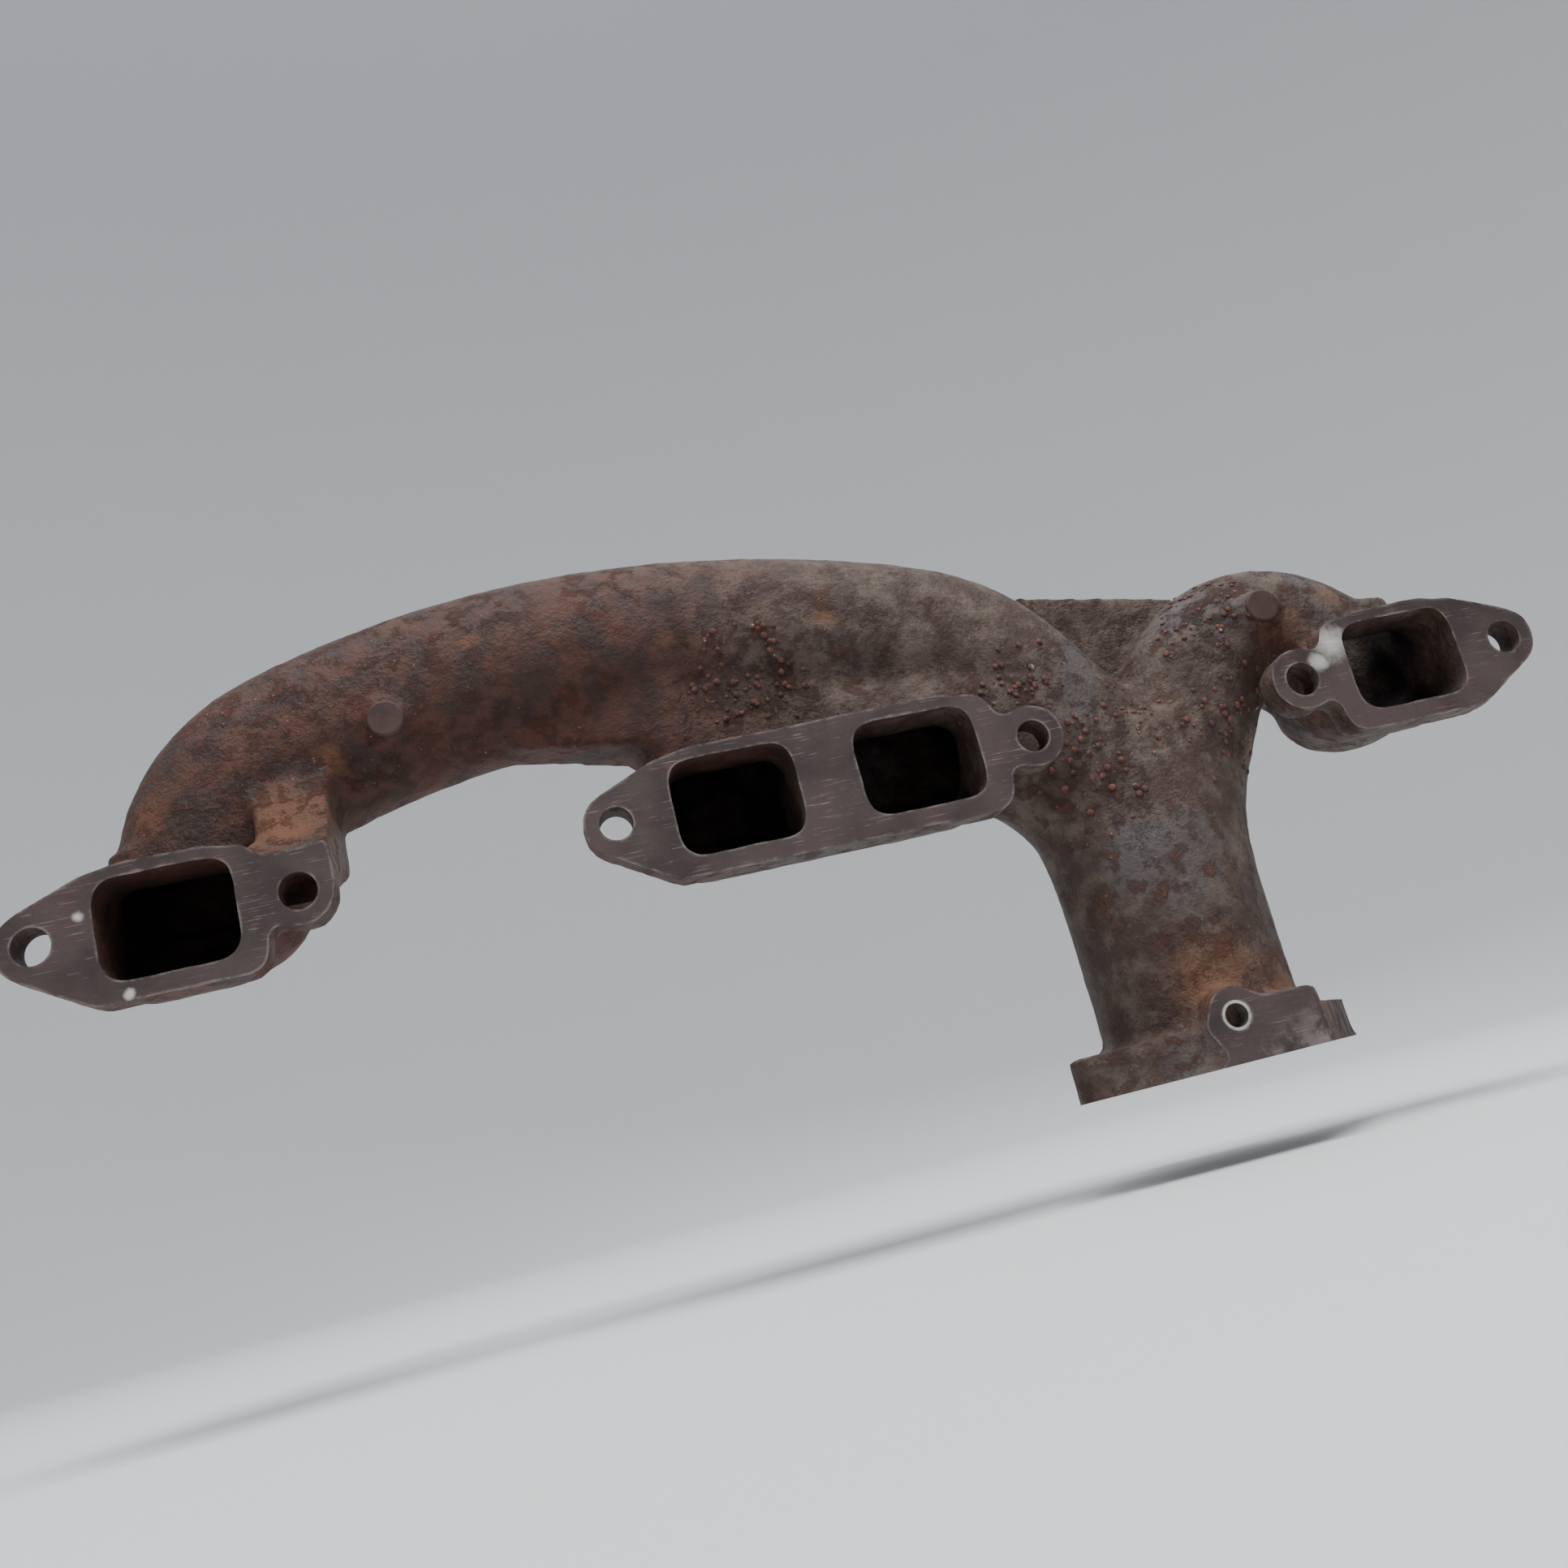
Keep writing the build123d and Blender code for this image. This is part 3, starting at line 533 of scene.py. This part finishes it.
def milled_iron_finish():
    """Milled faces: darker and smoother, with scratches, pale worn rims and a rubbed patch."""
    material, tree, shader, place = new_finish("milled_iron")
    clouds = noise(tree, place, 30, 6, 0.6)
    mottle = noise(tree, place, 110, 8, 0.7)
    grit = noise(tree, place, 700, 4, 0.6)
    colour = mix(tree, band(tree, clouds, 0.35, 0.65), (0.034, 0.022, 0.021, 1), (0.066, 0.044, 0.041, 1))
    stained = band(tree, mottle, 0.55, 0.68)
    colour = mix(tree, faded(tree, stained, 0.6), colour, (0.080, 0.034, 0.024, 1))
    pits = band(tree, grit, 0.42, 0.30)
    colour = mix(tree, faded(tree, pits, 0.6), colour, rust_dark)
    # fine scratches: noise drawn out along two slanting directions
    scratches = 0.0
    for slant in (0.5, -0.9):
        stretch = {"Vector": place, "Rotation": (0.0, slant, 0.0), "Scale": (60.0, 60.0, 2200.0)}
        drawn = add_node(tree, "ShaderNodeMapping", stretch).outputs["Vector"]
        line = band(tree, noise(tree, drawn, 1.0, 2, 0.4), 0.63, 0.70)
        scratches = combine(tree, "MAXIMUM", scratches, line)
    scratches = combine(tree, "MULTIPLY", scratches, band(tree, mottle, 0.45, 0.6))
    colour = mix(tree, faded(tree, scratches, 0.45), colour, (0.26, 0.22, 0.20, 1))
    rim = combine(tree, "MULTIPLY", point_value(tree, "worn"), band(tree, mottle, 0.42, 0.60))
    colour = mix(tree, faded(tree, rim, 0.7), colour, (0.26, 0.22, 0.205, 1))
    bare = 0.0
    for centre, radius in rubbed_spots:
        bare = combine(tree, "MAXIMUM", bare, patch(tree, place, centre, radius, mottle))
    colour = mix(tree, bare, colour, (0.62, 0.58, 0.54, 1))
    tree.links.new(colour, shader.inputs["Base Color"])
    metal = combine(tree, "MAXIMUM", faded(tree, rim, 0.5), bare)
    tree.links.new(combine(tree, "MAXIMUM", metal, 0.1), shader.inputs["Metallic"])
    shader.inputs["Specular IOR Level"].default_value = 0.4
    gloss = combine(tree, "ADD", band(tree, clouds, 0.3, 0.7, 0.42, 0.58), faded(tree, grit, 0.12))
    tree.links.new(gloss, shader.inputs["Roughness"])
    height = combine(tree, "ADD", faded(tree, grit, 0.5), faded(tree, mottle, 0.6))
    height = combine(tree, "SUBTRACT", height, faded(tree, scratches, 0.5))
    bump = add_node(tree, "ShaderNodeBump", {"Strength": 0.6, "Distance": 0.0003, "Height": height})
    tree.links.new(bump.outputs["Normal"], shader.inputs["Normal"])
    return material


casting.data.materials.append(cast_iron_finish())
casting.data.materials.append(milled_iron_finish())
casting.data.set_sharp_from_angle(angle=radians(40))
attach(casting, "manifold")
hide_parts("manifold_casting")

# =====================================================================================
# Scale blisters
# Small crusts of burnt rust that stand out of the hot surfaces in clusters, more of
# them than can be placed by hand: they are strewn over the skin where scale grows.
# =====================================================================================
blister_inputs = {
    "Blisters per square metre": 70000.0,
    "Smallest": 0.0004,
    "Largest": 0.0013,
    "Flatness": 0.55,
    "Seed": 7,
}


def scale_finish():
    """Dark red scale with paler broken crowns."""
    material, tree, shader, place = new_finish("burnt_scale")
    grain = noise(tree, place, 420, 6, 0.7)
    crown = noise(tree, place, 150, 4, 0.6)
    colour = mix(tree, band(tree, grain, 0.35, 0.65), (0.030, 0.013, 0.010, 1), (0.135, 0.045, 0.028, 1))
    broken = band(tree, crown, 0.62, 0.70)
    colour = mix(tree, faded(tree, broken, 0.8), colour, (0.42, 0.38, 0.34, 1))
    tree.links.new(colour, shader.inputs["Base Color"])
    shader.inputs["Roughness"].default_value = 0.8
    bump = add_node(tree, "ShaderNodeBump", {"Strength": 0.8, "Distance": 0.0003, "Height": grain})
    tree.links.new(bump.outputs["Normal"], shader.inputs["Normal"])
    return material


def blister_tree(material):
    """Geometry Nodes that strew flattened blisters over a surface by its scale value."""
    tree = bpy.data.node_groups.new("scale_blisters", "GeometryNodeTree")
    tree.interface.new_socket("Surface", in_out="INPUT", socket_type="NodeSocketGeometry")
    sizes = {}
    for label, value in blister_inputs.items():
        kind = "NodeSocketInt" if isinstance(value, int) else "NodeSocketFloat"
        socket = tree.interface.new_socket(label, in_out="INPUT", socket_type=kind)
        sizes[label] = socket.identifier
    tree.interface.new_socket("Blisters", in_out="OUTPUT", socket_type="NodeSocketGeometry")
    given = tree.nodes.new("NodeGroupInput").outputs
    grown = add_node(tree, "GeometryNodeInputNamedAttribute", {"Name": "scale"}).outputs["Attribute"]
    density = combine(tree, "MULTIPLY", grown, given["Blisters per square metre"])
    strewn = add_node(tree, "GeometryNodeDistributePointsOnFaces", {
        "Mesh": given["Surface"], "Density": density, "Seed": given["Seed"]})
    pebble = add_node(tree, "GeometryNodeMeshIcoSphere", {"Radius": 1.0, "Subdivisions": 2})
    lumps = add_node(tree, "ShaderNodeTexNoise", {"Scale": 1.3, "Detail": 1.0})
    knobs = {0: lumps.outputs["Color"], "Scale": 0.5}
    knob = add_node(tree, "ShaderNodeVectorMath", knobs, operation="SCALE")
    lumpy = add_node(tree, "GeometryNodeSetPosition", {
        "Geometry": pebble.outputs["Mesh"], "Offset": knob.outputs[0]})
    width = add_node(tree, "FunctionNodeRandomValue", {
        "Min": given["Smallest"], "Max": given["Largest"], "Seed": given["Seed"]}, data_type="FLOAT")
    across = width.outputs["Value"]
    height = combine(tree, "MULTIPLY", across, given["Flatness"])
    spread = add_node(tree, "ShaderNodeCombineXYZ", {0: across, 1: across, 2: height})
    placed = add_node(tree, "GeometryNodeInstanceOnPoints", {
        "Points": strewn.outputs["Points"], "Instance": lumpy.outputs["Geometry"],
        "Rotation": strewn.outputs["Rotation"], "Scale": spread.outputs[0]})
    real = add_node(tree, "GeometryNodeRealizeInstances", {"Geometry": placed.outputs["Instances"]})
    painted = add_node(tree, "GeometryNodeSetMaterial", {
        "Geometry": real.outputs["Geometry"], "Material": material})
    result = tree.nodes.new("NodeGroupOutput")
    tree.links.new(painted.outputs["Geometry"], result.inputs["Blisters"])
    return tree, sizes


blisters = bpy.data.objects.new("scale_blisters", casting.data.copy())
bpy.context.scene.collection.objects.link(blisters)
tree, sockets = blister_tree(scale_finish())
strew = blisters.modifiers.new("strew", "NODES")
strew.node_group = tree
for label, value in blister_inputs.items():
    strew[sockets[label]] = value
apply_all(blisters)
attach(blisters, "manifold")

# =====================================================================================
# Core plugs
# Two iron plugs pressed into the holes that held the sand core. Each stands a little
# proud of its runner, with a rounded edge, as rusty as the casting round it.
# =====================================================================================


def metal_finish(name, light, dark, stain, stain_share, roughness, metallic, grain_scale):
    """Metal in two close tones with stains, and a fine grain in its gloss and height."""
    material, tree, shader, place = new_finish(name)
    clouds = noise(tree, place, 90, 6, 0.65)
    grain = noise(tree, place, grain_scale, 5, 0.6)
    colour = mix(tree, band(tree, clouds, 0.35, 0.65), dark, light)
    stained = combine(tree, "MULTIPLY", band(tree, grain, 0.45, 0.62), band(tree, clouds, 0.60, 0.40))
    colour = mix(tree, combine(tree, "MULTIPLY", stained, stain_share), colour, stain)
    tree.links.new(colour, shader.inputs["Base Color"])
    shader.inputs["Metallic"].default_value = metallic
    gloss = combine(tree, "ADD", faded(tree, grain, 0.25), roughness - 0.1)
    tree.links.new(gloss, shader.inputs["Roughness"])
    bump = add_node(tree, "ShaderNodeBump", {"Strength": 0.5, "Distance": 0.0002, "Height": grain})
    tree.links.new(bump.outputs["Normal"], shader.inputs["Normal"])
    return material


def finish_node(node, material):
    """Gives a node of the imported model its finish."""
    mesh = frame["nodes"][node].data
    mesh.materials.clear()
    mesh.materials.append(material)


def softened(node, material, edge, body):
    """Stands in for a node with the same shape, its sharp edges rounded a little."""
    piece = copy_of(node)
    piece.data.materials.append(material)
    bevel = piece.modifiers.new("edge", "BEVEL")
    bevel.width = edge
    bevel.segments = 2
    bevel.limit_method = "ANGLE"
    bevel.angle_limit = radians(35)
    apply_all(piece)
    piece.data.set_sharp_from_angle(angle=radians(45))
    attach(piece, body)
    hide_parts(node)


plug_finish = metal_finish(
    "plug_iron", light=(0.060, 0.030, 0.024, 1), dark=(0.028, 0.016, 0.014, 1), stain=rust_red,
    stain_share=0.7, roughness=0.75, metallic=0.1, grain_scale=350,
)
finish_node("core_plug_front", plug_finish)
finish_node("core_plug_rear", plug_finish)

# =====================================================================================
# Shaft bushes
# Thin hard sleeves in the bosses. The shaft has rubbed their bores and rims bright.
# =====================================================================================
bush_finish = metal_finish(
    "bright_steel", light=(0.60, 0.58, 0.55, 1), dark=(0.42, 0.40, 0.38, 1), stain=burnt_brown,
    stain_share=0.35, roughness=0.32, metallic=0.9, grain_scale=900,
)
finish_node("shaft_bush_engine_side", bush_finish)
finish_node("shaft_bush_outer_side", bush_finish)

# =====================================================================================
# Heat-control valve
# A steel shaft across the neck carries a round flap, held by two screws.
# =====================================================================================
browned = metal_finish(
    "heat_browned_steel", light=(0.17, 0.12, 0.09, 1), dark=(0.07, 0.05, 0.045, 1), stain=rust_red,
    stain_share=0.6, roughness=0.5, metallic=0.75, grain_scale=600,
)
finish_node("heat_valve_shaft", browned)
finish_node("heat_valve_flap", browned)
finish_node("flap_screws", browned)

# =====================================================================================
# Counterweight, spring, pins, washer and clip
# On the outer end of the shaft: a cast weight with its lock screw, a thermostatic
# strip spring that hooks over a pin in the casting, a stop pin, a washer and a clip.
# =====================================================================================
weight_iron = metal_finish(
    "weight_iron", light=(0.110, 0.055, 0.040, 1), dark=(0.045, 0.026, 0.020, 1), stain=fresh_orange,
    stain_share=0.5, roughness=0.75, metallic=0.1, grain_scale=300,
)
straw_strip = metal_finish(
    "bimetal_strip", light=(0.30, 0.19, 0.10, 1), dark=(0.13, 0.09, 0.07, 1), stain=rust_red,
    stain_share=0.5, roughness=0.42, metallic=0.85, grain_scale=700,
)
dull_steel = metal_finish(
    "dull_steel", light=(0.24, 0.21, 0.19, 1), dark=(0.11, 0.09, 0.08, 1), stain=rust_red,
    stain_share=0.6, roughness=0.5, metallic=0.8, grain_scale=600,
)
softened("counterweight", weight_iron, 0.0009, "heat_valve")
finish_node("counterweight_screw", dull_steel)
finish_node("thermostatic_spring", straw_strip)
finish_node("thrust_washer", dull_steel)
finish_node("spring_retaining_clip", dull_steel)
finish_node("spring_anchor_pin", dull_steel)
finish_node("stop_pin", dull_steel)

# =====================================================================================
# Studio
# A plain pale cove: a round floor that turns up into a high wall all the way round, so
# that it has no edge, lit softly from above and in front.
# =====================================================================================
floor_z = -0.152
flat_radius = 1.7
cove_radius = 1.5
cove_steps = 16
cove_sides = 72
wall_top = 4.2

profile = [(0.0, floor_z), (flat_radius * 0.5, floor_z), (flat_radius, floor_z)]
for step in range(1, cove_steps + 1):
    angle = step / cove_steps * pi / 2
    profile.append((flat_radius + cove_radius * sin(angle), floor_z + cove_radius * (1 - cos(angle))))
profile.append((flat_radius + cove_radius, wall_top))
cove = bmesh.new()
points = [cove.verts.new((radius, 0.0, height)) for radius, height in profile]
edges = [cove.edges.new(pair) for pair in zip(points, points[1:])]
bmesh.ops.spin(cove, geom=points + edges, cent=(0, 0, 0), axis=(0, 0, 1), angle=2 * pi, steps=cove_sides)
bmesh.ops.remove_doubles(cove, verts=cove.verts, dist=10 * merge_distance)
for face in cove.faces:
    face.smooth = True
    middle = face.calc_center_median()
    outward = Vector((middle.x, middle.y, 0)).normalized()
    if face.normal.z < face.normal.dot(outward):
        face.normal_flip()
studio = mesh_object("studio_cove", cove)
paint, tree, shader, place = new_finish("cove_paint")
shader.inputs["Base Color"].default_value = (0.62, 0.63, 0.64, 1)
shader.inputs["Roughness"].default_value = 0.95
studio.data.materials.append(paint)

world = bpy.data.worlds.new("studio_air")
world.use_nodes = True
sky = world.node_tree.nodes["Background"]
sky.inputs["Color"].default_value = (0.93, 0.96, 1.0, 1)
sky.inputs["Strength"].default_value = 1.0
bpy.context.scene.world = world


def soft_lamp(name, place, aim, size, power):
    """A square lamp, turned to face a point."""
    data = bpy.data.lights.new(name, "AREA")
    data.size = size
    data.energy = power
    lamp = bpy.data.objects.new(name, data)
    bpy.context.scene.collection.objects.link(lamp)
    lamp.location = place
    lamp.rotation_euler = (Vector(aim) - Vector(place)).to_track_quat("-Z", "Y").to_euler()


soft_lamp("window", place=(0.1, -0.5, 1.7), aim=(0, 0.03, 0), size=1.1, power=52)
soft_lamp("front_fill", place=(-1.2, -1.5, 0.3), aim=(0, 0, 0), size=1.2, power=2.5)
soft_lamp("back_fill", place=(0.6, 1.6, 1.0), aim=(0, 0, 0), size=1.4, power=9)

# the camera stands close to the outlet's level, looking up at the part and rolled a little
camera_place = Vector((-0.0988, -0.4725, -0.1214))
looking = Vector((0.1685, 0.9540, 0.2479)).normalized()
top_edge = Vector((0.2029, -0.2797, 0.9384))
right = looking.cross(top_edge).normalized()
camera_data = bpy.data.cameras.new("camera")
camera_data.lens = 34.53
camera_data.clip_start = 0.01
camera = bpy.data.objects.new("camera", camera_data)
bpy.context.scene.collection.objects.link(camera)
turn = Matrix((right, right.cross(looking), -looking)).transposed().to_4x4()
camera.matrix_world = Matrix.Translation(camera_place) @ turn
bpy.context.scene.camera = camera
